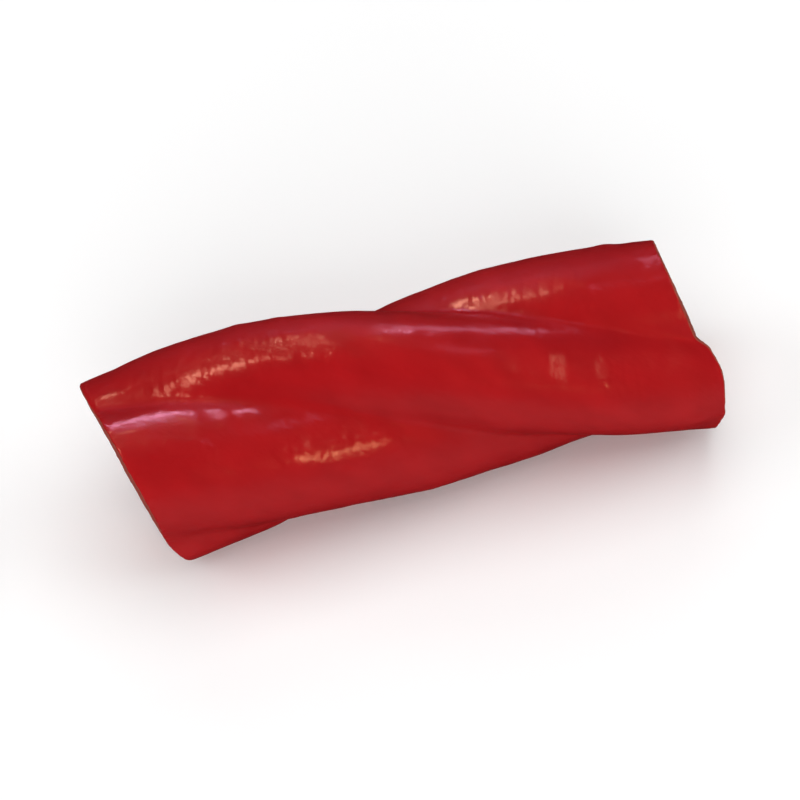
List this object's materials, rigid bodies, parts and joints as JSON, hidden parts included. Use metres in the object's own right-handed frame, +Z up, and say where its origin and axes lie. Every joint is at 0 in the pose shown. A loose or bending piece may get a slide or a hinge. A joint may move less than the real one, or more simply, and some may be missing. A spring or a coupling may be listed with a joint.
{
  "type": "red licorice twist",
  "caption": "Short bite-size piece of glazed red licorice rope: fused strands in a right-hand twist, with slanted knife cuts at both ends, lying on its side.",
  "frame": {"origin": "middle of the bar's outline, seen from above, on the surface that it lies on", "axes": "+X along the bar, towards the end with the drawn-out strand; +Z up; +Y away from the side that the picture shows"},
  "size_m": [0.0452, 0.0158, 0.015],
  "materials": {
    "red_licorice": "soft red sweet dough with a thin oil glaze: glossy, slightly see-through, with fine crosswise ripples on the skin; matt and close-grained on the two cut faces"
  },
  "bodies": {
    "root": {"licorice_twist": "red_licorice"}
  },
  "joints": []
}
